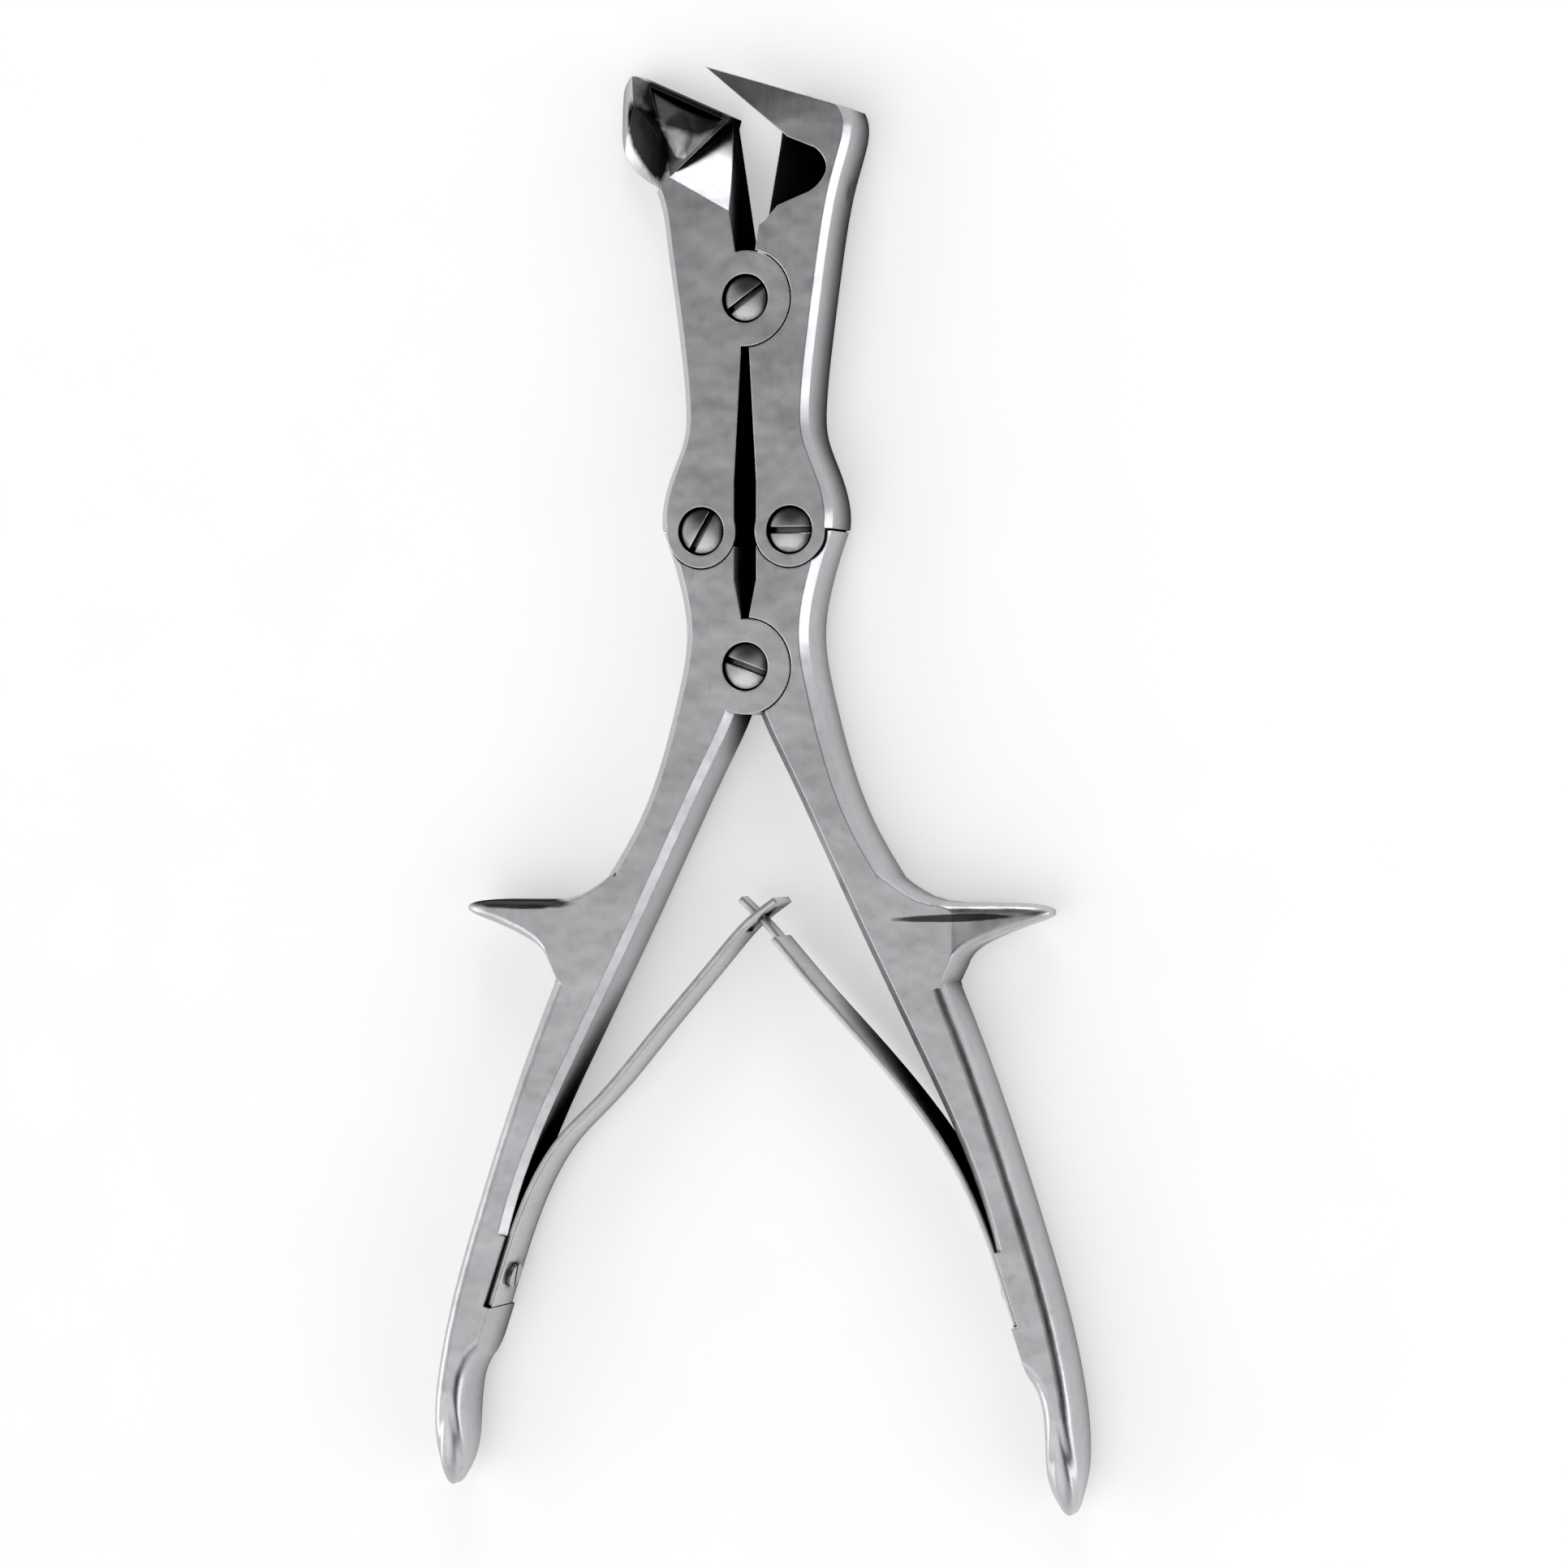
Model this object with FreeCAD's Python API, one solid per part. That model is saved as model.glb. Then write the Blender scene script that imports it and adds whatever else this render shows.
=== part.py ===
import FreeCAD, Part
import math
import os

os.makedirs("parts", exist_ok=True)

Vec = FreeCAD.Vector

# Frame: X to the right, Y towards the jaws, Z up through the thickness.
# The origin is the middle of the length, on the centre line, on the underside.

# Main sizes
thickness = 12.2
jaw_pivot_above_handle_pivot = 67.8
link_pivot_above_handle_pivot = 25.05
link_pivot_x = 8.7
beak_reach = 43.5
grip_reach = 153.9
grip_spread = 60.9
handle_pivot_y = (grip_reach - jaw_pivot_above_handle_pivot - beak_reach) / 2
mid = thickness / 2

# Joint
jaw_disc_radius = 8.8
handle_disc_radius = 8.8
link_disc_radius = 6.8
shoulder_gap = 0.3
lap_gap = 0.04
slot_half_width = 0.85
slot_half_width_at_links = 2.2

# Pivot screws
screw_head_radius = 4.4
screw_head_height = 2.6
screw_head_chamfer = 0.3
screw_shank_radius = 3.1
screw_thread_radius = 2.6
screw_slot_width = 1.2
screw_slot_depth = 1.1
screw_recess = 0.5
running_gap = 0.05
seat_gap = 0.02
jaw_pivot_gap = 0.14
head_rim_gap = 0.12
jaw_screw_slot_angle = 35.0
handle_screw_slot_angle = -20.0
left_link_slot_angle = 60.0
right_link_slot_angle = 0.0

# Jaws, with heights from mid thickness
jaw_bevel = 1.3
shank_half_gap = 0.6
shank_gap_slope = 0.157
shoulder_height = 5.5
ramp_radius = 60.0
ramp_floor = -3.0
ramp_length = 13.6
cup_rim_height = 0.5
cup_depth_angle = 7.5
cup_tilt_angle = 58.0
lens_radius = 30.0
beak_floor = 1.6
beak_face_radius = 48.0
pocket_floor = -3.0
pocket_slope_angle = 21.0
pocket_end_radius = 3.4

# Handles
handle_bevel = 1.5
grip_rounding = 2.4
grip_end_length = 18.0
grip_end_thinning = 3.0
horn_corner = 1.8
leaf_seat_angle = 18.6
leaf_seat_below_screw = 6.4
leaf_seat_above_screw = 7.5

# Leaf springs
leaf_thickness = 1.3
leaf_width = 9.6
leaf_tip_width = 8.0
tongue_width = 2.8
tongue_length = 5.0
tongue_angle = 46.0
window_width = 3.8
window_length = 7.0
window_angle = 41.0
spring_screw_radius = 1.5
spring_screw_head_radius = 2.3
spring_screw_head_height = 0.9
spring_screw_length = 4.5
spring_screw_slot_width = 0.6
spring_screw_slot_depth = 0.45


def at_jaw(x, y, z=0.0):
    """A point given from the jaw pivot at mid thickness."""
    return Vec(x, y + handle_pivot_y + jaw_pivot_above_handle_pivot, z + mid)


def at_handle(x, y, z=0.0):
    """A point given from the handle pivot at mid thickness."""
    return Vec(x, y + handle_pivot_y, z + mid)


def at_grip(across, along, z=0.0):
    """A point of the left grip, in shares of its spread and of its reach below the handle pivot."""
    return at_handle(-across * grip_spread, -along * grip_reach, z)


jaw_pivot = at_jaw(0, 0)
handle_pivot = at_handle(0, 0)
left_link = at_handle(-link_pivot_x, link_pivot_above_handle_pivot)
right_link = at_handle(link_pivot_x, link_pivot_above_handle_pivot)
link_below_jaw_pivot = jaw_pivot_above_handle_pivot - link_pivot_above_handle_pivot

# The left head's corners
shoulder = at_jaw(-15.1, 22.95, shoulder_height)
ridge_end = at_jaw(-5.85, 33.3, cup_rim_height)
rim_end = at_jaw(-23.6, 42.0, cup_rim_height)
lens_top = at_jaw(-23.8, 37.2, 2.2)
lens_side = at_jaw(-27.3, 30.0, -2.5)
facet_back = at_jaw(-27.5, 42.0, -3.5)

# The beak's corners, as if it were on the left
beak_tip = at_jaw(9.0, beak_reach)
beak_corner = at_jaw(-8.4, 29.4)

# Where each leaf crosses the other one, and where the left leaf's screw goes into the grip
left_crossing = at_grip(-0.016, 0.299)
right_crossing = at_grip(0.016, 0.300)
leaf_screw_spot = at_grip(0.831, 0.738)

# Under the horn, where the handle's bevel ends and the grip's rounding starts
horn_root = at_grip(0.635, 0.380)


def mirrored(shape):
    """The same shape on the other side of the centre line."""
    return shape.mirror(Vec(0, 0, 0), Vec(1, 0, 0))


def turned_over(shape):
    """The same shape with front and back exchanged."""
    return shape.mirror(Vec(0, 0, mid), Vec(0, 0, 1))


def line(a, b):
    return Part.makeLine(a, b)


def curve(points):
    """A smooth edge through a few points."""
    spline = Part.BSplineCurve()
    spline.interpolate(points)
    return spline.toShape()


def chain(points):
    """Straight edges from each point to the next."""
    return [line(a, b) for a, b in zip(points, points[1:])]


def slab(edges, low=-mid, high=mid):
    """A flat solid over a closed outline, with its two heights from mid thickness."""
    face = Part.Face(Part.Wire(Part.__sortEdges__(edges)))
    face.translate(Vec(0, 0, low))
    return face.extrude(Vec(0, 0, high - low))


def area(points, low=-mid, high=mid + 1):
    """A slab with straight sides, through points of which only the place in plan counts."""
    flat = [Vec(point.x, point.y, mid) for point in points]
    return slab(chain(flat + [flat[0]]), low, high)


def disc(centre, radius, low, high):
    """A round slab about a pivot, with heights from mid thickness."""
    return Part.makeCylinder(radius, high - low, centre + Vec(0, 0, low))


def beyond(a, b, c, reach=80.0):
    """A large block that lies on the front side of the plane through three points."""
    normal = (b - a).cross(c - a)
    if normal.z < 0:
        normal = normal * -1
    normal.normalize()
    block = Part.makeBox(2 * reach, 2 * reach, reach, Vec(-reach, -reach, 0))
    block.Placement = FreeCAD.Placement(a, FreeCAD.Rotation(Vec(0, 0, 1), normal))
    return block


def rims(solid, path):
    """The front and back edges of a solid that lie over and under a path at mid thickness."""
    chosen = []
    for edge in solid.Edges:
        middle = edge.valueAt((edge.FirstParameter + edge.LastParameter) / 2)
        spot = Part.Vertex(middle.x, middle.y, mid)
        upright = edge.BoundBox.ZLength > mid
        if not upright and spot.distToShape(path)[0] < 0.01:
            chosen.append(edge)
    return chosen


def bevel_tool(path, size, outwards):
    """A block swept along the front edge of an outline, which bevels it; outwards is at its start."""
    path = path.copy()
    path.translate(Vec(0, 0, mid))
    start = path.valueAt(path.FirstParameter)
    spare = 0.7
    low = start + outwards * spare - Vec(0, 0, size + spare)
    high = start + outwards * spare + Vec(0, 0, spare)
    inner = start - outwards * (size + spare) + Vec(0, 0, spare)
    profile = Part.makePolygon([low, high, inner, low])
    return Part.Wire([path]).makePipeShell([profile], True, False)


def single(shape):
    """The largest solid of a result, cleaned of seams."""
    best = max(shape.Solids, key=lambda solid: solid.Volume)
    return best.removeSplitter().Solids[0]


def joined(solid, pivot, radius, front):
    """A body with a lap disc round a pivot, in front of or behind its neighbour."""
    low = lap_gap / 2 if front else -mid
    high = mid if front else -lap_gap / 2
    cut_low = -mid - 1 if front else -lap_gap / 2
    cut_high = lap_gap / 2 if front else mid + 1
    solid = solid.cut(disc(pivot, radius + shoulder_gap, cut_low, cut_high))
    return solid.fuse(disc(pivot, radius, low, high))


def screw_hole_front(centre, gap):
    """The counterbore and the running hole in the front half of a joint."""
    floor = mid - screw_head_height - screw_recess
    rim = disc(centre, screw_head_radius + max(gap, head_rim_gap), floor, mid + 1)
    hole = disc(centre, screw_shank_radius + gap, -1, mid + 1)
    return rim.fuse(hole)


def screw_hole_back(centre):
    """The threaded hole in the back half of a joint."""
    return disc(centre, screw_thread_radius + seat_gap, -mid - 1, 1)


def pivot_screw(centre, slot_angle):
    """A slotted screw that holds the front half and is threaded into the back half."""
    top = mid - screw_recess
    under_head = top - screw_head_height + seat_gap
    straight = disc(centre, screw_head_radius, under_head, top - screw_head_chamfer)
    edge = Part.makeCone(
        screw_head_radius,
        screw_head_radius - screw_head_chamfer,
        screw_head_chamfer,
        centre + Vec(0, 0, top - screw_head_chamfer),
    )
    shank = disc(centre, screw_shank_radius, lap_gap, under_head)
    thread = disc(centre, screw_thread_radius, -mid, lap_gap)
    slot = Part.makeBox(4 * screw_head_radius, screw_slot_width, screw_slot_depth + 1)
    slot.translate(Vec(-2 * screw_head_radius, -screw_slot_width / 2, top - screw_slot_depth))
    slot.rotate(Vec(0, 0, 0), Vec(0, 0, 1), slot_angle)
    slot.translate(centre)
    return single(straight.fuse([edge, shank, thread]).cut(slot))


def jaw_inner(height):
    """A point on the left shank's inner edge at a height above the jaw pivot."""
    return at_jaw(-shank_half_gap - shank_gap_slope * height, height)


def jaw_blank(side, top):
    """The left jaw at full thickness; side continues its outer edge and top closes the head."""
    link = link_below_jaw_pivot
    outer = curve(
        [
            at_jaw(-16.7, 0.2 - link),
            at_jaw(-16.6, 5.0 - link),
            at_jaw(-14.6, 11.5 - link),
            at_jaw(-12.3, 18.0 - link),
            at_jaw(-12.1, 23.0 - link),
            at_jaw(-13.0, -10.0),
            at_jaw(-14.3, 0.0),
            at_jaw(-15.8, 10.5),
            at_jaw(-17.4, 19.0),
        ]
        + side
    )
    inner = [
        jaw_inner(0.0),
        at_jaw(-slot_half_width, -10.0),
        at_jaw(-slot_half_width_at_links, 9.0 - link),
        at_jaw(-slot_half_width_at_links, 0.2 - link),
        at_jaw(-16.7, 0.2 - link),
    ]
    solid = slab([outer] + chain([side[-1]] + top + inner))
    return solid.makeChamfer(jaw_bevel, rims(solid, outer))


def ramp_tool():
    """A large roller that hollows the ramp from the end of the left shank to the inner corner."""
    across = Vec(12.75, -7.2, 0).normalize()
    along = Vec(-across.y, across.x, 0)
    drop = mid - ramp_floor
    chord = math.hypot(ramp_length, drop)
    rise = math.sqrt(ramp_radius**2 - chord**2 / 4)
    centre_along = ramp_length / 2 + rise * drop / chord
    centre_up = (mid + ramp_floor) / 2 + rise * ramp_length / chord
    start = Vec(shoulder.x, shoulder.y, mid + centre_up) + along * centre_along - across * 40
    return Part.makeCylinder(ramp_radius, 80, start, across)


def cup_tool():
    """A cone that hollows the cup of the left head, with its point above the shoulder."""
    apex = at_jaw(-13.6, 26.0, 4.1)
    to_rim = (rim_end - apex).normalize()
    to_ridge = (ridge_end - apex).normalize()
    forward = (to_rim + to_ridge).normalize()
    up = to_ridge.cross(to_rim).normalize()
    lift = math.radians(cup_tilt_angle)
    axis = forward * math.cos(lift) + up * math.sin(lift)
    half_angle = math.radians(cup_tilt_angle + cup_depth_angle)
    length = 30.0
    return Part.makeCone(0, length * math.tan(half_angle), length, apex, axis)


def lens_tool():
    """A ball that grinds the almond shaped hollow into the outer side of the left head."""
    ring = Part.Circle(shoulder, lens_top, lens_side)
    outward = ring.Axis
    if outward.z < 0:
        outward = outward * -1
    rise = math.sqrt(lens_radius**2 - ring.Radius**2)
    return Part.makeSphere(lens_radius, ring.Center + outward * rise)


def left_jaw_shape():
    """The jaw whose head has a hollowed cup behind a sharp edge."""
    side = [
        at_jaw(-18.6, 21.2),
        at_jaw(-21.5, 22.9),
        at_jaw(-25.4, 25.8),
        at_jaw(-27.7, 29.0),
        at_jaw(-29.1, 33.4),
        at_jaw(-29.4, 37.6),
        at_jaw(-28.6, 40.7),
        at_jaw(-26.4, 42.4),
        at_jaw(-23.6, 42.8),
    ]
    solid = jaw_blank(side, [at_jaw(-5.3, 34.4), jaw_inner(32.8)])
    head = area(
        [
            shoulder,
            ridge_end,
            at_jaw(-2.0, 37.6),
            at_jaw(-14.0, 50.0),
            at_jaw(-36.0, 46.0),
            at_jaw(-36.0, 19.0),
            at_jaw(-19.0, 19.0),
        ]
    )
    shank = area(
        [
            shoulder,
            ridge_end,
            at_jaw(-3.0, 36.5),
            at_jaw(6.0, 30.0),
            at_jaw(2.0, 10.0),
            at_jaw(-14.0, 10.0),
        ]
    )
    inside_rim = area([at_jaw(-14.7, 24.2), at_jaw(-6.6, 34.0), at_jaw(-21.1, 40.7)])
    solid = solid.cut(beyond(shoulder, ridge_end, rim_end).common(head))
    solid = solid.cut(beyond(lens_top, lens_side, facet_back).common(head))
    solid = solid.cut(lens_tool().common(head))
    solid = solid.cut(ramp_tool().common(shank))
    return single(solid.cut(cup_tool().common(inside_rim)))


def beak_tool():
    """The space in front of the beak's rounded face."""
    axis = Vec(0.98, -0.2, 0).normalize()
    crest = at_jaw(-8.4, 31.3)
    centre = crest + Vec(0, 0, mid - beak_face_radius)
    roller = Part.makeCylinder(beak_face_radius, 120, centre - axis * 60, axis)
    block = Part.makeBox(80, 40, mid + 1)
    block.rotate(Vec(0, 0, 0), Vec(0, 0, 1), math.degrees(math.atan2(axis.y, axis.x)))
    block.translate(crest - axis * 40)
    return block.cut(roller)


def pocket_tool():
    """The hollow under the beak, whose floor slopes down to a round end."""
    end = curve(
        [
            at_jaw(-11.9, 18.96),
            at_jaw(-15.1, 21.4),
            at_jaw(-15.9, 23.5),
            at_jaw(-15.1, 25.8),
            at_jaw(-13.7, 27.2),
        ]
    )
    sides = chain(
        [
            at_jaw(-13.7, 27.2),
            beak_corner,
            beak_tip,
            at_jaw(3.0, 15.0),
            at_jaw(-2.0, 13.0),
            at_jaw(-3.8, 14.1),
            at_jaw(-6.4, 16.9),
            at_jaw(-11.9, 18.96),
        ]
    )
    floor_low = at_jaw(-15.3, 22.0, pocket_floor)
    floor_far = at_jaw(-15.3, 30.0, pocket_floor)
    slope = math.tan(math.radians(pocket_slope_angle))
    floor_high = at_jaw(-2.3, 22.0, pocket_floor + 13.0 * slope)
    open_space = slab([end] + sides, -mid, mid + 1)
    return open_space.common(beyond(floor_low, floor_far, floor_high))


def right_jaw_shape():
    """The jaw whose head is a beak in front of the other head, made as if it were on the left."""
    side = [
        at_jaw(-18.2, 22.0),
        at_jaw(-19.7, 27.0),
        at_jaw(-20.4, 31.5),
        at_jaw(-19.6, 34.4),
    ]
    top_middle = at_jaw(-6.3, 38.63)
    solid = jaw_blank(side, [top_middle, jaw_inner(28.5)])
    solid = solid.cut(pocket_tool())
    scoop = Part.makeSphere(pocket_end_radius, at_jaw(-13.4, 24.3, pocket_floor + 1.6))
    solid = solid.cut(scoop)
    beak = area([beak_tip, beak_corner, at_jaw(-14.0, 28.5), at_jaw(-14.0, 36.18), top_middle], beak_floor, mid)
    return mirrored(single(solid.fuse(beak).cut(beak_tool())))


def seat_frame():
    """The middle of the leaf's seat, the direction up along it and the one out of it."""
    angle = math.radians(leaf_seat_angle)
    up = Vec(math.sin(angle), math.cos(angle), 0)
    out = Vec(up.y, -up.x, 0)
    return leaf_screw_spot, up, out


def inner_edge():
    """The inner edge of the left handle from the top of the leaf's seat to the handle pivot."""
    middle, up, out = seat_frame()
    return curve(
        [
            middle + up * leaf_seat_above_screw,
            at_grip(0.729, 0.612),
            at_grip(0.558, 0.466),
            at_grip(0.309, 0.271),
            at_grip(0.115, 0.115),
            at_handle(-2.7, -8.9),
            at_handle(-shank_half_gap, -2.0),
        ]
    )


def upper_edge():
    """The outer edge of the left handle from the link down to the root of the horn."""
    return curve(
        [
            at_handle(-16.5, link_pivot_above_handle_pivot - 0.2),
            at_handle(-13.4, 15.3),
            at_handle(-12.0, 6.0),
            at_handle(-13.7, -5.0),
            at_grip(0.282, 0.115),
            at_grip(0.361, 0.191),
            at_grip(0.411, 0.225),
            at_grip(0.468, 0.260),
            at_grip(0.542, 0.309),
            horn_root,
        ]
    )


def lower_edge():
    """The outer edge of the left handle from the root of the horn round the end of the grip."""
    return curve(
        [
            horn_root,
            at_grip(0.724, 0.466),
            at_grip(0.897, 0.661),
            at_grip(1.018, 0.838),
            at_grip(1.044, 0.923),
            at_grip(1.038, 0.965),
            at_grip(1.0, 1.0),
            at_grip(0.957, 0.977),
            at_grip(0.938, 0.932),
            at_grip(0.897, 0.842),
        ]
    )


def end_tool():
    """The space in front of the end of the grip, where it grows thinner."""
    radius = (grip_end_length**2 + grip_end_thinning**2) / (2 * grip_end_thinning)
    start = at_grip(1.5, 1.0, mid - radius) + Vec(0, grip_end_length, 0)
    roller = Part.makeCylinder(radius, grip_spread, start, Vec(1, 0, 0))
    block = Part.makeBox(grip_spread, 2 * grip_end_length, mid + 1)
    block.translate(at_grip(1.5, 1.0) - Vec(0, grip_end_length, 0))
    return block.cut(roller)


def handle_blank():
    """The left handle without its horn: bevelled above the horn and rounded below it."""
    middle, up, out = seat_frame()
    seat_low = middle - up * leaf_seat_below_screw
    seat_high = middle + up * leaf_seat_above_screw
    link = link_pivot_above_handle_pivot
    pad = chain([at_grip(0.897, 0.842), seat_low + out * leaf_thickness, seat_low, seat_high])
    slot = chain(
        [
            at_handle(-shank_half_gap, -2.0),
            at_handle(-slot_half_width, 9.5),
            at_handle(-slot_half_width_at_links, link - 9.0),
            at_handle(-slot_half_width_at_links, link - 0.2),
            at_handle(-16.5, link - 0.2),
        ]
    )
    solid = slab([upper_edge(), lower_edge(), inner_edge()] + pad + slot)
    reach = 2 * grip_reach
    below = Part.makeBox(reach, reach, reach, horn_root - Vec(reach / 2, reach, reach / 2))
    grip_end = solid.common(below)
    grip_end = grip_end.cut(end_tool()).cut(turned_over(end_tool()))
    grip_end = grip_end.makeFillet(grip_rounding, rims(grip_end, lower_edge()))
    joint_end = solid.cut(below)
    joint_end = joint_end.makeChamfer(handle_bevel, rims(joint_end, upper_edge()))
    return joint_end.fuse(grip_end)


def horn_section(across, top, bottom, half_depth):
    """A rounded rectangle across the horn, in shares of the grip's spread and reach."""
    high = at_grip(across, top)
    low = at_grip(across, bottom)
    corner = min(horn_corner, 0.45 * (high.y - low.y))
    arcs = []
    for edge, side, face in ((high, 1, 1), (high, 1, -1), (low, -1, -1), (low, -1, 1)):
        centre = edge + Vec(0, -side * corner, face * (half_depth - corner))
        ends = [centre + Vec(0, 0, face * corner), centre + Vec(0, side * corner, 0)]
        if side != face:
            ends.reverse()
        halfway = centre + Vec(0, side, face) * (corner * math.sqrt(0.5))
        arcs.append((ends[0], halfway, ends[1]))
    edges = []
    for this, following in zip(arcs, arcs[1:] + arcs[:1]):
        edges.append(Part.Arc(*this).toShape())
        edges.append(line(this[2], following[0]))
    return Part.Wire(edges)


def horn():
    """The left finger horn: a root flush with the handle, and a part that thins to a round tip."""
    flush = mid + 0.4
    meeting = horn_section(0.650, 0.281, 0.358, mid + 0.1)
    root = [
        horn_section(0.427, 0.245, 0.325, flush),
        horn_section(0.450, 0.251, 0.341, flush),
        horn_section(0.473, 0.258, 0.358, flush),
        horn_section(0.505, 0.266, 0.376, flush),
        horn_section(0.545, 0.274, 0.389, flush),
        horn_section(0.590, 0.279, 0.392, flush),
        horn_section(0.620, 0.280, 0.381, flush),
        meeting,
    ]
    thinner = [
        meeting,
        horn_section(0.681, 0.281, 0.340, mid - 0.2),
        horn_section(0.739, 0.281, 0.326, mid - 0.7),
        horn_section(0.821, 0.281, 0.313, mid - 1.6),
        horn_section(0.895, 0.283, 0.303, mid - 2.5),
        horn_section(0.943, 0.288, 0.295, mid - 4.1),
    ]
    reach = 2 * grip_spread
    layer = Part.makeBox(reach, reach, thickness, at_grip(1, 0, -mid) - Vec(reach / 2, reach, 0))
    straight = Part.makeLoft(root, True, True).common(layer)
    return straight.fuse(Part.makeLoft(thinner, True, False).common(layer))


def handle_shape():
    """The left handle with its horn and the bevels along its inner edge."""
    middle, up, out = seat_frame()
    solid = handle_blank().fuse(horn())
    tool = bevel_tool(inner_edge(), handle_bevel, out)
    return single(solid.cut(tool).cut(turned_over(tool)))


def leaf_blank(path):
    """A left leaf at full width, bent to a path from above its seat to its tip."""
    middle, up, out = seat_frame()
    lift = out * (leaf_thickness / 2 + seat_gap)
    foot = middle - up * (leaf_seat_below_screw - 0.1) + lift
    knee = middle + up * (leaf_seat_above_screw - 2.0) + lift
    centre = Part.BSplineCurve()
    last = path[-1] - path[-2]
    centre.interpolate([knee] + path, InitialTangent=up * 12, FinalTangent=last)
    samples = 16
    one, other = [], []
    for step in range(samples + 1):
        at = centre.FirstParameter + (centre.LastParameter - centre.FirstParameter) * step / samples
        ahead = centre.tangent(at)[0]
        across = Vec(-ahead.y, ahead.x, 0) * (leaf_thickness / 2)
        one.append(centre.value(at) + across)
        other.append(centre.value(at) - across)
    half = out * (leaf_thickness / 2)
    ends = chain([one[0], foot - half, foot + half, other[0]]) + [line(one[-1], other[-1])]
    solid = slab([curve(one), curve(other)] + ends, -leaf_width / 2, leaf_width / 2)
    taper = beyond(
        at_grip(0.755, 0.663, leaf_width / 2),
        at_grip(0.821, 0.637, leaf_width / 2),
        at_grip(-0.082, 0.279, leaf_tip_width / 2),
    )
    return solid.cut(taper).cut(turned_over(taper))


def crossing_box(spot, angle, start, end, height):
    """A block along a leaf through the spot where the two leaves cross."""
    block = Part.makeBox(end - start, 9.0, height, Vec(start, -4.5, -height / 2))
    block.rotate(Vec(0, 0, 0), Vec(0, 0, 1), angle)
    block.translate(spot)
    return block


def left_leaf_shape():
    """The leaf with a window near its end."""
    path = [
        at_grip(0.701, 0.621),
        at_grip(0.622, 0.574),
        at_grip(0.506, 0.528),
        at_grip(0.304, 0.438),
        at_grip(0.102, 0.347),
        at_grip(0.0, 0.304),
        at_grip(-0.085, 0.279),
    ]
    half = window_length / 2
    window = crossing_box(left_crossing, window_angle, -half, half, window_width)
    return leaf_blank(path).cut(window)


def right_leaf_shape():
    """The leaf with a tongue that goes through the window, made as if it were on the left."""
    path = [
        at_grip(0.704, 0.622),
        at_grip(0.631, 0.572),
        at_grip(0.545, 0.526),
        at_grip(0.365, 0.446),
        at_grip(0.176, 0.368),
        at_grip(0.016, 0.300),
        at_grip(-0.046, 0.278),
    ]
    around = crossing_box(right_crossing, tongue_angle, -tongue_length, 14.0, 20.0)
    tongue = crossing_box(right_crossing, tongue_angle, -tongue_length - 1, 15.0, tongue_width)
    return leaf_blank(path).cut(around.cut(tongue))


def spring_screw_hole(radius):
    """The hole for the spring screw through the left leaf and into the handle."""
    middle, up, out = seat_frame()
    depth = spring_screw_length + 0.3
    return Part.makeCylinder(radius, depth + leaf_thickness + 1, middle - out * depth, out)


def spring_screw_shape():
    """The small screw that holds the left leaf to its handle."""
    middle, up, out = seat_frame()
    surface = middle + out * (leaf_thickness + 2 * seat_gap)
    head = Part.makeCylinder(spring_screw_head_radius, spring_screw_head_height, surface, out)
    length = spring_screw_length + leaf_thickness
    shank = Part.makeCylinder(spring_screw_radius, length, surface - out * length, out)
    wide = 4 * spring_screw_head_radius
    floor = spring_screw_head_height - spring_screw_slot_depth
    slot = Part.makeBox(spring_screw_slot_width, wide, 2.0, Vec(-spring_screw_slot_width / 2, -wide / 2, floor))
    slot.Placement = FreeCAD.Placement(surface, FreeCAD.Rotation(Vec(0, 0, 1), out))
    return single(head.fuse(shank).cut(slot))


def save(name, shape):
    """Writes one node as a single solid."""
    single(shape).exportStep("parts/" + name + ".step")


left_jaw = joined(left_jaw_shape(), jaw_pivot, jaw_disc_radius, True)
left_jaw = joined(left_jaw, left_link, link_disc_radius, True)
left_jaw = left_jaw.cut(screw_hole_front(jaw_pivot, jaw_pivot_gap))
left_jaw = left_jaw.cut(screw_hole_front(left_link, running_gap))
save("left_jaw", left_jaw)

right_jaw = joined(right_jaw_shape(), jaw_pivot, jaw_disc_radius, False)
right_jaw = joined(right_jaw, right_link, link_disc_radius, True)
right_jaw = right_jaw.cut(screw_hole_back(jaw_pivot))
right_jaw = right_jaw.cut(screw_hole_front(right_link, running_gap))
save("right_jaw", right_jaw)

grip = handle_shape().cut(spring_screw_hole(spring_screw_radius + seat_gap))

left_handle = joined(grip, handle_pivot, handle_disc_radius, True)
left_handle = joined(left_handle, left_link, link_disc_radius, False)
left_handle = left_handle.cut(screw_hole_front(handle_pivot, running_gap))
left_handle = left_handle.cut(screw_hole_back(left_link))
save("left_handle", left_handle)

right_handle = joined(mirrored(grip), handle_pivot, handle_disc_radius, False)
right_handle = joined(right_handle, right_link, link_disc_radius, False)
right_handle = right_handle.cut(screw_hole_back(handle_pivot))
right_handle = right_handle.cut(screw_hole_back(right_link))
save("right_handle", right_handle)

save("jaw_pivot_screw", pivot_screw(jaw_pivot, jaw_screw_slot_angle))
save("handle_pivot_screw", pivot_screw(handle_pivot, handle_screw_slot_angle))
save("left_link_screw", pivot_screw(left_link, left_link_slot_angle))
save("right_link_screw", pivot_screw(right_link, right_link_slot_angle))

leaf_hole = spring_screw_hole(spring_screw_radius + running_gap)
save("left_spring_leaf", left_leaf_shape().cut(leaf_hole))
save("right_spring_leaf", mirrored(right_leaf_shape().cut(leaf_hole)))
save("left_spring_screw", spring_screw_shape())
save("right_spring_screw", mirrored(spring_screw_shape()))
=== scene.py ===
import math

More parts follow.
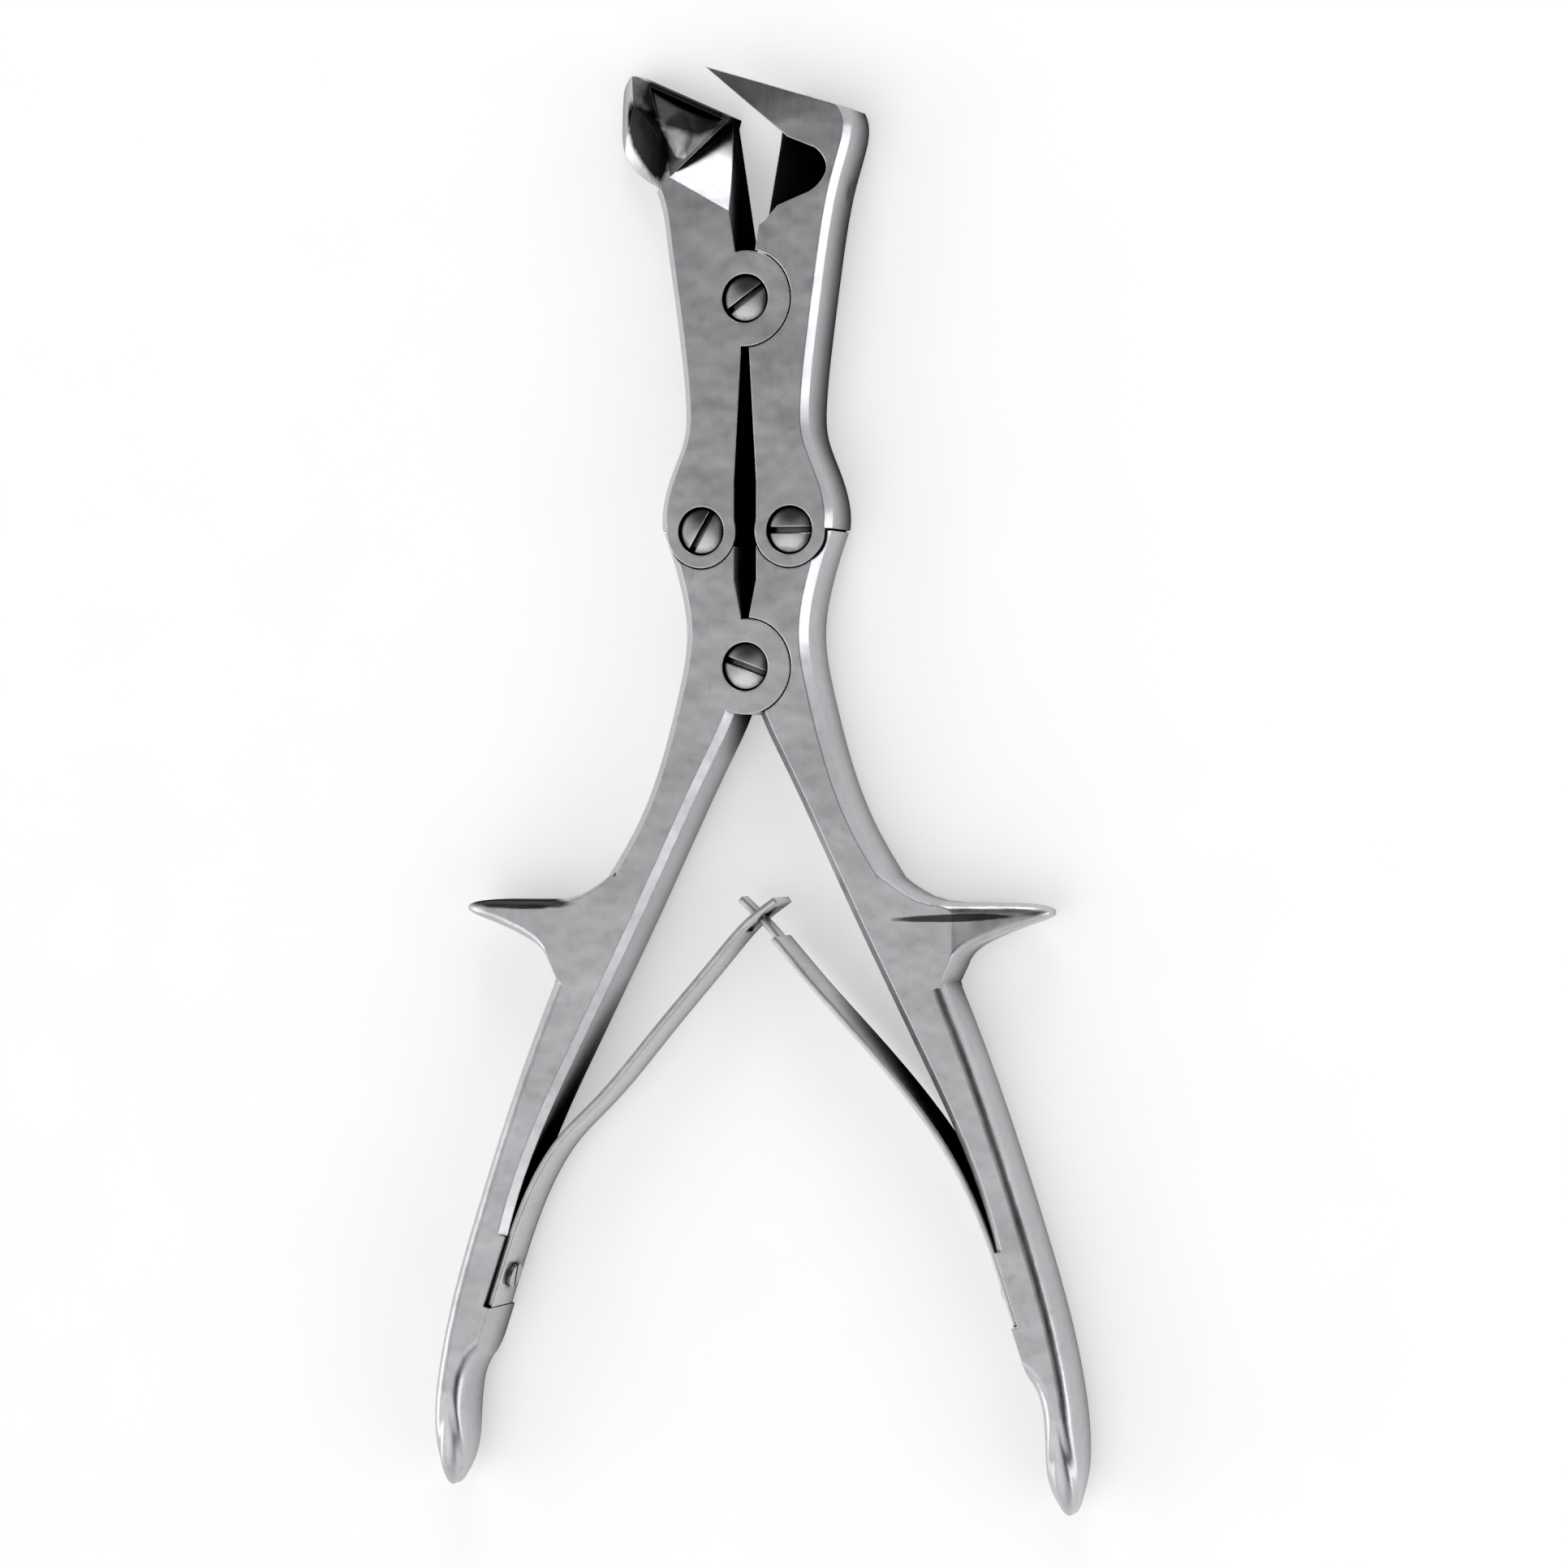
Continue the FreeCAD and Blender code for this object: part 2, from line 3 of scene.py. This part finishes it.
import bpy
import numpy as np
from mathutils import Matrix, Vector

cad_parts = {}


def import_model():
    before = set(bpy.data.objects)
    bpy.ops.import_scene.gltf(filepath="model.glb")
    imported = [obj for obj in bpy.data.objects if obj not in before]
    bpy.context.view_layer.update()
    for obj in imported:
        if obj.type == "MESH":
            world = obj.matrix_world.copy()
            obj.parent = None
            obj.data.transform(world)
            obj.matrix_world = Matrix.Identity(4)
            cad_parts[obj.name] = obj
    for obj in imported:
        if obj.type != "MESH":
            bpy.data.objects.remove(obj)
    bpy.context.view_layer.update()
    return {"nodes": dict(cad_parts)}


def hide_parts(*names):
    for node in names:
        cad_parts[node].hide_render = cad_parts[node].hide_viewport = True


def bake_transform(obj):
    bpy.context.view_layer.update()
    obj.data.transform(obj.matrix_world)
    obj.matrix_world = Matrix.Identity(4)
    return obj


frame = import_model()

# Sizes in metres, the same as the solids'
HANDLE_PIVOT_Y = 0.0213
MID = 0.0061
LEAF_THICKNESS = 0.0013
LEAF_WIDTH = 0.0096
LEAF_TIP_WIDTH = 0.0080
TONGUE_WIDTH = 0.0028
WINDOW_WIDTH = 0.0038
WINDOW_LENGTH = 0.0070
TONGUE_START = -0.0050
GRIP_REACH = 0.1539
GRIP_SPREAD = 0.0609
SEAT_ANGLE = math.radians(18.6)
SEAT_BELOW = 0.0064
SEAT_ABOVE = 0.0075

# Shares of the grip's spread and reach: the seat's middle, where each leaf runs, and where the two cross
SEAT_MIDDLE = (0.831, 0.738)
LEFT_LEAF_PATH = (
    (0.701, 0.621),
    (0.622, 0.574),
    (0.506, 0.528),
    (0.304, 0.438),
    (0.102, 0.347),
    (0.0, 0.304),
    (-0.085, 0.279),
)
RIGHT_LEAF_PATH = (
    (0.704, 0.622),
    (0.631, 0.572),
    (0.545, 0.526),
    (0.365, 0.446),
    (0.176, 0.368),
    (0.016, 0.300),
    (-0.046, 0.278),
)
LEFT_CROSSING = -0.016
RIGHT_CROSSING = 0.016

# More sizes of the leaves' sheets
LEAF_SEAT_GAP = 0.00002
LEAF_TAPER_START = 0.016
LEAF_EDGE_ROUND = 0.00022
LEAF_ROWS = 241

# The screws
SCREW_RADIUS = 0.0044
DOME_HEIGHT = 0.0007
LINK_X = 0.0087
LINK_Y = 0.04635
JAW_PIVOT_Y = 0.0891

# The steel: the width of a worn edge, how far the painted shade of a corner and of a hollow reaches, and the
# depth of its marks
WORN_EDGE = 0.00035
CORNER_REACH = 0.004
HOLLOW_REACH = 0.012
WAVE_DEPTH = 0.0006
MARK_DEPTH = 0.00006

# The floor
FLOOR_REACH = 4.0
FLOOR_DROP = 0.0002
FLOOR_GLOW = 0.42

# The view
VIEW_TURN = math.radians(20.5)
VIEW_DISTANCE = 0.95
VIEW_TARGET = (0.0054, -0.0003, MID)
FRAME_WIDTH = 0.2898
SENSOR = 36.0

# Dark and bright places of the room: direction, half angle of the middle and of the soft edge, and level
PLACES = (
    ((0.57, 0.0, 0.82), 27.0, 34.0, 0.04),
    ((-0.30, 0.62, 0.74), 21.0, 33.0, 0.08),
    ((-0.33, -0.36, 0.87), 10.0, 28.0, 3.0),
)


def new_material(name):
    material = bpy.data.materials.new(name)
    material.use_nodes = True
    tree = material.node_tree
    tree.nodes.clear()
    return material, tree


def add(tree, kind, **settings):
    node = tree.nodes.new(kind)
    for key, value in settings.items():
        setattr(node, key, value)
    return node


def math_node(tree, operation, a, b):
    node = add(tree, "ShaderNodeMath", operation=operation)
    for socket, value in ((node.inputs[0], a), (node.inputs[1], b)):
        if isinstance(value, (int, float)):
            socket.default_value = value
        else:
            tree.links.new(value, socket)
    return node.outputs[0]


def ramp(tree, source, stops):
    node = add(tree, "ShaderNodeValToRGB")
    tree.links.new(source, node.inputs["Fac"])
    elements = node.color_ramp.elements
    while len(elements) < len(stops):
        elements.new(0.5)
    for element, (place, value) in zip(elements, stops):
        element.position = place
        element.color = (value, value, value, 1.0)
    return node.outputs["Color"]


def noise(tree, coordinates, scale, detail, roughness, stretch=(1.0, 1.0, 1.0)):
    mapping = add(tree, "ShaderNodeMapping")
    mapping.inputs["Scale"].default_value = stretch
    tree.links.new(coordinates, mapping.inputs["Vector"])
    node = add(tree, "ShaderNodeTexNoise")
    node.inputs["Scale"].default_value = scale
    node.inputs["Detail"].default_value = detail
    node.inputs["Roughness"].default_value = roughness
    tree.links.new(mapping.outputs["Vector"], node.inputs["Vector"])
    return node.outputs["Fac"]


def vector_node(tree, operation, a, b):
    """A vector sum, product, dot product or cross product; a and b are sockets or fixed vectors."""
    node = add(tree, "ShaderNodeVectorMath", operation=operation)
    for socket, value in ((node.inputs[0], a), (node.inputs[1], b)):
        if isinstance(value, (tuple, Vector)):
            socket.default_value = value
        else:
            tree.links.new(value, socket)
    return node


def fitted(tree, source, gain, start):
    """A number times a gain plus a start."""
    node = add(tree, "ShaderNodeMath", operation="MULTIPLY_ADD")
    tree.links.new(source, node.inputs[0])
    node.inputs[1].default_value = gain
    node.inputs[2].default_value = start
    return node.outputs[0]


def length_of(tree, vector):
    node = add(tree, "ShaderNodeVectorMath", operation="LENGTH")
    tree.links.new(vector, node.inputs[0])
    return node.outputs["Value"]


def turned_rings(tree, coordinates, centre, shader):
    """Fine rings about a centre, and how far out each place is as a share of the screw's radius.

    The shader gets a tangent that runs round the centre, so that its lights stretch across the rings.
    """
    arm = vector_node(tree, "SUBTRACT", coordinates, (*centre, 0.0)).outputs["Vector"]
    flat = vector_node(tree, "MULTIPLY", arm, (1.0, 1.0, 0.0)).outputs["Vector"]
    away = length_of(tree, flat)
    share = math_node(tree, "DIVIDE", away, SCREW_RADIUS)
    rings = add(tree, "ShaderNodeCombineXYZ")
    tree.links.new(away, rings.inputs["X"])
    marks = noise(tree, rings.outputs["Vector"], 2600.0, 3.0, 0.6)
    round_it = vector_node(tree, "CROSS_PRODUCT", (0.0, 0.0, 1.0), flat).outputs["Vector"]
    along = add(tree, "ShaderNodeVectorMath", operation="NORMALIZE")
    tree.links.new(round_it, along.inputs[0])
    tree.links.new(along.outputs["Vector"], shader.inputs["Tangent"])
    shader.inputs["Anisotropic"].default_value = 0.5
    return marks, share


def edge_wear(tree, blotch):
    """The wear along edges, in patches, and the normal that rounds those edges."""
    geometry = add(tree, "ShaderNodeNewGeometry")
    soft = add(tree, "ShaderNodeBevel", samples=6)
    soft.inputs["Radius"].default_value = WORN_EDGE
    turn = vector_node(tree, "DOT_PRODUCT", soft.outputs["Normal"], geometry.outputs["Normal"])
    worn = ramp(tree, turn.outputs["Value"], ((0.80, 1.0), (0.985, 0.0)))
    patches = ramp(tree, blotch, ((0.35, 0.25), (0.65, 1.0)))
    return math_node(tree, "MULTIPLY", worn, patches), soft.outputs["Normal"]


def painted_occlusion_shade(tree, reach, dark, full, end):
    """Painted shade from ambient occlusion: 1 in the open, down to dark where less than the share full of
    the surroundings is open.
    """
    node = add(tree, "ShaderNodeAmbientOcclusion", samples=8)
    node.inputs["Distance"].default_value = reach
    return ramp(tree, node.outputs["AO"], ((full, dark), (end, 1.0)))


def painted_dark_patch(tree, coordinates, blotch, middle, turned, size, dark):
    """A patch of painted dark reflection and painted shade, in the shape of an ellipsoid with a ragged edge.
    """
    place = add(tree, "ShaderNodeMapping", vector_type="TEXTURE")
    place.inputs["Location"].default_value = middle
    place.inputs["Rotation"].default_value = (0.0, 0.0, turned)
    place.inputs["Scale"].default_value = size
    tree.links.new(coordinates, place.inputs["Vector"])
    away = length_of(tree, place.outputs["Vector"])
    ragged = math_node(tree, "ADD", away, fitted(tree, blotch, 0.5, -0.25))
    return ramp(tree, ragged, ((0.78, dark), (1.0, 1.0)))


def relief(tree, height, depth, strength, normal):
    node = add(tree, "ShaderNodeBump")
    node.inputs["Strength"].default_value = strength
    node.inputs["Distance"].default_value = depth
    tree.links.new(height, node.inputs["Height"])
    tree.links.new(normal, node.inputs["Normal"])
    return node.outputs["Normal"]


def steel(
    name, colour, dull, grain, edge_light, corner_shade, hollow=(0.30, 0.80), turned_about=None, patches=()
):
    """Worked steel: cloudy tone, fine grinding marks, rubbed edges, and painted shade in corners and hollows
    that also dims their reflections.

    dull is the roughness, and edge_light is how much lighter, or darker below zero, a worn edge is.
    hollow is how open a place is where the painted shade of a hollow is full and where it ends.
    turned_about is the centre of a turned part, which gets fine rings, a domed face and painted shade round
    its rim.
    patches are patches of painted dark reflection and painted shade: middle, turn, half sizes and how dark.
    """
    material, tree = new_material(name)
    links = tree.links
    shader = add(tree, "ShaderNodeBsdfPrincipled")
    coordinates = add(tree, "ShaderNodeTexCoord").outputs["Object"]
    cloud = noise(tree, coordinates, 48.0, 3.0, 0.55)
    fine = noise(tree, coordinates, 5200.0, 2.0, 0.5)
    blotch = noise(tree, coordinates, 210.0, 4.0, 0.65)
    spots = noise(tree, coordinates, 620.0, 3.0, 0.6)
    wear, normal = edge_wear(tree, blotch)
    # Painted shade: colour and reflections darkened by ambient occlusion in corners and hollows, where shade
    # falls
    corners = painted_occlusion_shade(tree, CORNER_REACH, corner_shade, 0.15, 0.70)
    hollows = painted_occlusion_shade(tree, HOLLOW_REACH, 0.06, *hollow)
    painted_shade = math_node(tree, "MULTIPLY", corners, hollows)

    if turned_about is None:
        marks = noise(tree, coordinates, 900.0, 4.0, 0.6, grain)
        normal = relief(tree, cloud, WAVE_DEPTH, 1.0, normal)
    else:
        marks, share = turned_rings(tree, coordinates, turned_about, shader)
        dome = fitted(tree, math_node(tree, "MULTIPLY", share, share), -1.0, 1.0)
        normal = relief(tree, dome, DOME_HEIGHT, 1.0, normal)
        # Painted shade: a dark ring round the rim of the turned head
        rim_shade = math_node(tree, "ADD", share, fitted(tree, blotch, 0.5, -0.25))
        painted_shade = math_node(tree, "MULTIPLY", painted_shade, ramp(tree, rim_shade, ((0.72, 1.0), (0.98, 0.22))))
    # Painted dark reflections and painted shade in fixed patches
    for patch in patches:
        painted_shade = math_node(tree, "MULTIPLY", painted_shade, painted_dark_patch(tree, coordinates, blotch, *patch))

    tone = math_node(tree, "MULTIPLY", fitted(tree, cloud, 0.40, 0.80), fitted(tree, marks, 0.16, 0.92))
    tone = math_node(tree, "MULTIPLY", tone, ramp(tree, spots, ((0.25, 0.86), (0.45, 1.0))))
    tone = math_node(tree, "MULTIPLY", tone, painted_shade)
    tone = math_node(tree, "MULTIPLY", tone, fitted(tree, wear, edge_light, 1.0))
    mix = add(tree, "ShaderNodeVectorMath", operation="SCALE")
    mix.inputs[0].default_value = colour
    links.new(tone, mix.inputs["Scale"])

    rough = fitted(tree, marks, 0.12, dull - 0.06)
    rough = math_node(tree, "ADD", rough, fitted(tree, blotch, 0.10, -0.05))
    rough = math_node(tree, "SUBTRACT", rough, fitted(tree, wear, 0.08, 0.0))
    height = math_node(tree, "ADD", marks, math_node(tree, "MULTIPLY", fine, 0.5))

    shader.inputs["Metallic"].default_value = 1.0
    links.new(mix.outputs["Vector"], shader.inputs["Base Color"])
    # The painted shade also darkens the metal's reflections through the specular tint
    links.new(painted_shade, shader.inputs["Specular Tint"])
    links.new(rough, shader.inputs["Roughness"])
    links.new(relief(tree, height, MARK_DEPTH, 0.18, normal), shader.inputs["Normal"])
    output = add(tree, "ShaderNodeOutputMaterial")
    links.new(shader.outputs["BSDF"], output.inputs["Surface"])
    return material


def give(obj, material):
    obj.data.materials.clear()
    obj.data.materials.append(material)


def smooth_curve(points, count):
    """A natural cubic spline through the points, sampled evenly in length."""
    points = np.asarray(points, float)
    chord = np.r_[0.0, np.cumsum(np.hypot(*np.diff(points, axis=0).T))]
    n = len(points)
    step = np.diff(chord)
    system = np.zeros((n, n))
    right = np.zeros((n, points.shape[1]))
    system[0, 0] = system[-1, -1] = 1.0
    for i in range(1, n - 1):
        system[i, i - 1] = step[i - 1]
        system[i, i] = 2 * (step[i - 1] + step[i])
        system[i, i + 1] = step[i]
        right[i] = 6 * ((points[i + 1] - points[i]) / step[i] - (points[i] - points[i - 1]) / step[i - 1])
    bend = np.linalg.solve(system, right)
    where = np.linspace(0.0, chord[-1], count)
    piece = np.clip(np.searchsorted(chord, where, side="right") - 1, 0, n - 2)
    t = (where - chord[piece])[:, None]
    h = step[piece][:, None]
    low, high = bend[piece], bend[piece + 1]
    slope = (points[piece + 1] - points[piece]) / h - h * (2 * low + high) / 6
    return points[piece] + slope * t + low * t ** 2 / 2 + (high - low) * t ** 3 / (6 * h)


def leaf_path(shares):
    """A leaf's centre line from its foot to its tip, in X and Y, with the grip to the left.

    The foot is straight along the seat, and the rest goes through the shares of the grip's spread and reach.
    """
    up = np.array([math.sin(SEAT_ANGLE), math.cos(SEAT_ANGLE)])
    out = np.array([up[1], -up[0]])
    lift = out * (LEAF_THICKNESS / 2 + LEAF_SEAT_GAP)
    grip = -np.array([GRIP_SPREAD, GRIP_REACH])
    foot = grip * SEAT_MIDDLE - up * (SEAT_BELOW - 0.0001) + lift
    knee = grip * SEAT_MIDDLE + up * (SEAT_ABOVE - 0.002) + lift
    points = np.vstack([foot, (foot * 2 + knee) / 3, (foot + knee * 2) / 3, knee, grip * np.array(shares)])
    return smooth_curve(points, LEAF_ROWS) + np.array([0.0, HANDLE_PIVOT_Y])


def leaf(name, side, shares, cross_at, has_window):
    """A strip whose centre line is the leaf's path and whose half width falls evenly towards the tip.

    Columns across the strip keep fixed places at the window's and the tongue's edges.
    The cells in the window, or beside the tongue, are left out, and a wall is then given to the rest.
    """
    path = leaf_path(shares)
    count = len(path)
    length = np.r_[0.0, np.cumsum(np.hypot(*np.diff(path, axis=0).T))]
    crossing = length[np.argmin(np.abs(path[:, 0] + cross_at * GRIP_SPREAD))]
    fade = np.clip((length - LEAF_TAPER_START) / (length[-1] - LEAF_TAPER_START), 0.0, 1.0)
    half = LEAF_WIDTH / 2 + (LEAF_TIP_WIDTH - LEAF_WIDTH) / 2 * fade
    inner = np.array([-WINDOW_WIDTH / 2, -TONGUE_WIDTH / 2, 0.0, TONGUE_WIDTH / 2, WINDOW_WIDTH / 2])
    half = half[:, None]
    columns = np.concatenate([-half, -half * 0.75, np.tile(inner, (count, 1)), half * 0.75, half], axis=1)
    across = columns.shape[1]
    grid = np.empty((count, across, 3))
    grid[:, :, 0] = path[:, None, 0] * side
    grid[:, :, 1] = path[:, None, 1]
    grid[:, :, 2] = MID + columns
    row, column = np.meshgrid(np.arange(count - 1), np.arange(across - 1), indexing="ij")
    middle_of_row = (length[row] + length[row + 1]) / 2 - crossing
    if has_window:
        keep = ~((np.abs(middle_of_row) < WINDOW_LENGTH / 2) & (column >= 2) & (column <= 5))
    else:
        keep = ~((middle_of_row > TONGUE_START) & ((column < 3) | (column > 4)))
    row, column = row[keep], column[keep]
    corner = row * across + column
    faces = np.stack([corner, corner + 1, corner + across + 1, corner + across], axis=1)
    if side > 0:
        faces = faces[:, ::-1]
    used, faces = np.unique(faces, return_inverse=True)
    faces = faces.reshape(-1, 4)
    mesh = bpy.data.meshes.new(name)
    mesh.from_pydata(grid.reshape(-1, 3)[used].tolist(), [], faces.tolist())
    mesh.update()
    obj = bpy.data.objects.new(name, mesh)
    bpy.context.scene.collection.objects.link(obj)
    wall = obj.modifiers.new("wall", "SOLIDIFY")
    wall.thickness = LEAF_THICKNESS
    wall.offset = 0.0
    round_edges = obj.modifiers.new("round_edges", "BEVEL")
    round_edges.width = LEAF_EDGE_ROUND
    round_edges.segments = 2
    round_edges.limit_method = "ANGLE"
    round_edges.angle_limit = math.radians(50)
    mesh.polygons.foreach_set("use_smooth", np.ones(len(mesh.polygons), bool))
    return obj


# Painted dark reflections and painted shade in the heads' hollows and on the horns, where the photo shows
# dark reflections
# Each has its middle, its turn, its half sizes and how dark it is
LEFT_JAW_PAINTED_DARK = (
    ((-0.0208, 0.1192, 0.0080), math.radians(31.0), (0.0046, 0.0096, 0.020), 0.05),
    ((-0.0142, 0.1262, 0.0060), math.radians(-25.0), (0.0102, 0.0058, 0.020), 0.08),
    ((-0.0150, 0.1200, 0.0080), 0.0, (0.0030, 0.0056, 0.020), 0.35),
)
RIGHT_JAW_PAINTED_DARK = (
    ((0.0080, 0.1118, 0.0040), 0.0, (0.0110, 0.0100, 0.0065), 0.25),
)
LEFT_HANDLE_PAINTED_DARK = (
    ((-0.0455, -0.0226, 0.0090), 0.0, (0.0125, 0.0012, 0.020), 0.15),
)
RIGHT_HANDLE_PAINTED_DARK = (
    ((0.0405, -0.0246, 0.0110), math.radians(2.0), (0.0120, 0.0008, 0.020), 0.12),
)

SATIN_TONE = (0.50, 0.495, 0.515)
SCREW_TONE = (0.50, 0.495, 0.51)
SPRING_TONE = (0.56, 0.56, 0.565)
LENGTHWISE = (1.0, 0.12, 1.0)
ACROSS = (1.0, 1.0, 0.1)
EVEN = (1.0, 1.0, 1.0)


def satin(name, **more):
    return steel(name, SATIN_TONE, 0.30, LENGTHWISE, 0.22, 0.06, **more)


# The jaws and handles carry patches of painted dark reflection and painted shade
SATIN = {
    "left_jaw": satin("satin_left_jaw", hollow=(0.56, 0.98), patches=LEFT_JAW_PAINTED_DARK),
    "right_jaw": satin("satin_right_jaw", hollow=(0.56, 0.98), patches=RIGHT_JAW_PAINTED_DARK),
    "left_handle": satin("satin_left_handle", patches=LEFT_HANDLE_PAINTED_DARK),
    "right_handle": satin("satin_right_handle", patches=RIGHT_HANDLE_PAINTED_DARK),
}
spring = steel("spring_steel", SPRING_TONE, 0.28, ACROSS, -0.55, 0.20)
small_screw = steel("screw_steel", SCREW_TONE, 0.28, EVEN, 0.40, 0.10)

SCREW_CENTRES = {
    "jaw_pivot_screw": (0.0, JAW_PIVOT_Y),
    "handle_pivot_screw": (0.0, HANDLE_PIVOT_Y),
    "left_link_screw": (-LINK_X, LINK_Y),
    "right_link_screw": (LINK_X, LINK_Y),
}
for node_name, centre in SCREW_CENTRES.items():
    finish = steel("turned_" + node_name, SCREW_TONE, 0.22, EVEN, 0.40, 0.03, turned_about=centre)
    give(frame["nodes"][node_name], finish)

NODE_FINISH = {
    **SATIN,
    "left_spring_screw": small_screw,
    "right_spring_screw": small_screw,
    "left_spring_leaf": spring,
    "right_spring_leaf": spring,
}
for node_name, finish in NODE_FINISH.items():
    give(frame["nodes"][node_name], finish)

LEAVES = (
    ("left_spring", 1.0, LEFT_LEAF_PATH, LEFT_CROSSING, True),
    ("right_spring", -1.0, RIGHT_LEAF_PATH, RIGHT_CROSSING, False),
)
for leaf_name, side, shares, cross_at, has_window in LEAVES:
    strip = leaf(leaf_name, side, shares, cross_at, has_window)
    give(strip, spring)
    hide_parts(leaf_name + "_leaf")
    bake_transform(strip)


def floor():
    """A wide flat sheet under the instrument, white to the camera and to the metal."""
    material, tree = new_material("white_floor")
    links = tree.links
    coordinates = add(tree, "ShaderNodeTexCoord").outputs["Object"]
    mottle = noise(tree, coordinates, 40.0, 2.0, 0.5)
    tone = ramp(tree, mottle, ((0.3, 0.84), (0.7, 0.86)))
    paper = add(tree, "ShaderNodeBsdfDiffuse")
    links.new(tone, paper.inputs["Color"])
    rays = add(tree, "ShaderNodeLightPath")
    seen = math_node(tree, "MAXIMUM", rays.outputs["Is Camera Ray"], rays.outputs["Is Glossy Ray"])
    seen = math_node(tree, "MAXIMUM", seen, rays.outputs["Is Transmission Ray"])
    glow = add(tree, "ShaderNodeEmission")
    glow.inputs["Color"].default_value = (1, 1, 1, 1)
    links.new(math_node(tree, "MULTIPLY", seen, FLOOR_GLOW), glow.inputs["Strength"])
    both = add(tree, "ShaderNodeAddShader")
    links.new(paper.outputs["BSDF"], both.inputs[0])
    links.new(glow.outputs["Emission"], both.inputs[1])
    output = add(tree, "ShaderNodeOutputMaterial")
    links.new(both.outputs["Shader"], output.inputs["Surface"])
    mesh = bpy.data.meshes.new("floor")
    signs = ((-1, -1), (1, -1), (1, 1), (-1, 1))
    corners = [(x * FLOOR_REACH, y * FLOOR_REACH, -FLOOR_DROP) for x, y in signs]
    mesh.from_pydata(corners, [], [(0, 1, 2, 3)])
    obj = bpy.data.objects.new("floor", mesh)
    bpy.context.scene.collection.objects.link(obj)
    give(obj, material)


def world():
    """A white room, greyer overhead, with two dark places and a bright one, and white to the camera."""
    made = bpy.data.worlds.new("studio")
    bpy.context.scene.world = made
    made.use_nodes = True
    tree = made.node_tree
    tree.nodes.clear()
    links = tree.links
    direction = add(tree, "ShaderNodeTexCoord").outputs["Generated"]
    split = add(tree, "ShaderNodeSeparateXYZ")
    links.new(direction, split.inputs[0])
    level = ramp(tree, split.outputs["Z"], ((0.05, 1.0), (0.40, 0.85), (0.85, 0.42)))
    for aim, inner, outer, gain in PLACES:
        closeness = vector_node(tree, "DOT_PRODUCT", direction, Vector(aim).normalized()).outputs["Value"]
        rest = math.cos(math.radians(outer))
        full = math.cos(math.radians(inner))
        inside = ramp(tree, closeness, ((rest, 0.0), (full, 1.0)))
        level = math_node(tree, "MULTIPLY", level, fitted(tree, inside, gain - 1.0, 1.0))
    rays = add(tree, "ShaderNodeLightPath")
    room = add(tree, "ShaderNodeBackground")
    links.new(level, room.inputs["Color"])
    room.inputs["Strength"].default_value = 1.0
    white = add(tree, "ShaderNodeBackground")
    white.inputs["Color"].default_value = (1, 1, 1, 1)
    white.inputs["Strength"].default_value = 1.0
    mix = add(tree, "ShaderNodeMixShader")
    links.new(rays.outputs["Is Camera Ray"], mix.inputs["Fac"])
    links.new(room.outputs["Background"], mix.inputs[1])
    links.new(white.outputs["Background"], mix.inputs[2])
    output = add(tree, "ShaderNodeOutputWorld")
    links.new(mix.outputs["Shader"], output.inputs["Surface"])


def lamp(name, place, size, power):
    """A rectangular lamp that faces the middle of the instrument."""
    data = bpy.data.lights.new(name, "AREA")
    data.shape = "RECTANGLE"
    data.size, data.size_y = size
    data.energy = power
    obj = bpy.data.objects.new(name, data)
    obj.location = place
    obj.rotation_euler = (Vector((0, 0, 0)) - Vector(place)).to_track_quat("-Z", "Y").to_euler()
    bpy.context.scene.collection.objects.link(obj)


def camera():
    """A camera turned to the instrument's right, with its frame as wide as FRAME_WIDTH at the instrument."""
    data = bpy.data.cameras.new("camera")
    data.sensor_width = SENSOR
    data.lens = SENSOR * VIEW_DISTANCE / FRAME_WIDTH
    data.clip_start = 0.01
    data.clip_end = 50.0
    obj = bpy.data.objects.new("camera", data)
    back = Vector((math.sin(VIEW_TURN), 0.0, math.cos(VIEW_TURN)))
    up = Vector((0.0, 1.0, 0.0))
    right = up.cross(back)
    turn = Matrix((right, up, back)).transposed().to_4x4()
    obj.matrix_world = Matrix.Translation(Vector(VIEW_TARGET) + back * VIEW_DISTANCE) @ turn
    bpy.context.scene.collection.objects.link(obj)
    bpy.context.scene.camera = obj


floor()
world()
lamp("left_lamp", (-1.5, -0.35, 0.5), (0.9, 0.9), 4.0)
lamp("right_lamp", (1.3, -0.5, 0.7), (0.8, 0.8), 3.0)
lamp("right_strip", (1.4, 0.0, 0.52), (0.5, 0.25), 1.3)
lamp("far_lamp", (0.11, 1.47, 0.64), (0.6, 0.5), 3.6)
camera()
bpy.context.scene.view_settings.view_transform = "Standard"
